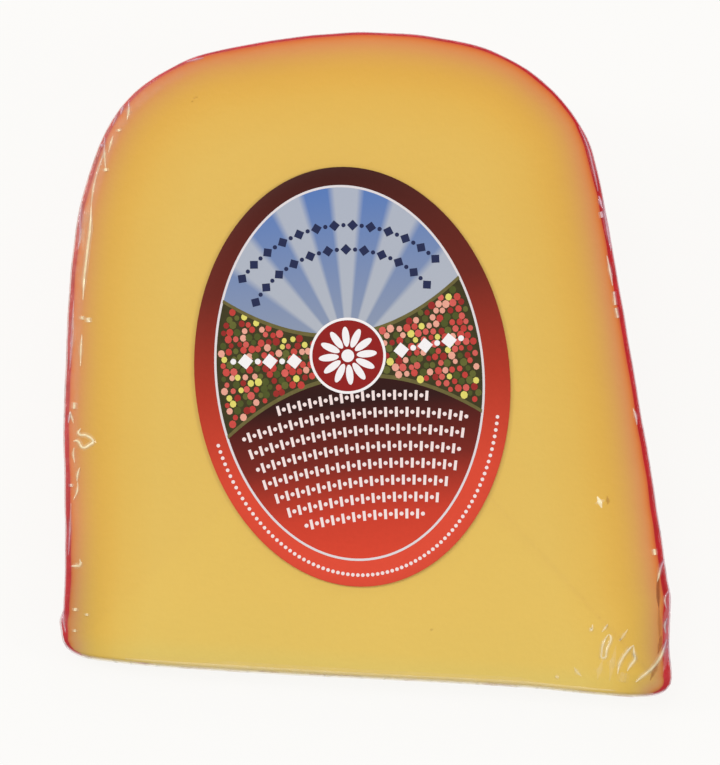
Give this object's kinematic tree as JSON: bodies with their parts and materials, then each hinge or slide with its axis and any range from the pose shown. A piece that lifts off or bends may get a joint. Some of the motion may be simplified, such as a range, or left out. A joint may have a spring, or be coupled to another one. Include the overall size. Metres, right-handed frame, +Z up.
{
  "type": "wrapped gouda cheese wedge",
  "caption": "Wedge of young gouda in a red wax rind, sealed tight in clear film, with an oval paper label on one cut face. It lies on the other cut face.",
  "frame": {"origin": "middle of the bounding box, on the lower cut face, where the wedge rests", "axes": "+Z up, the normal of the lower cut face. +X along the thin tip edge, which is the wheel's axis. +Y from the tip edge out to the rounded rim, the longest side"},
  "size_m": [0.1088, 0.1128, 0.0386],
  "materials": {
    "cheese": "pale yellow semi-hard cheese, waxy and slightly translucent",
    "wax_rind": "red cheese wax",
    "clear_film": "clear shrink film with fine creases at the edges",
    "label_paper": "coated paper, satin, printed"
  },
  "bodies": {
    "root": {"wrapped_wedge": "cheese", "label": "label_paper"}
  },
  "joints": []
}
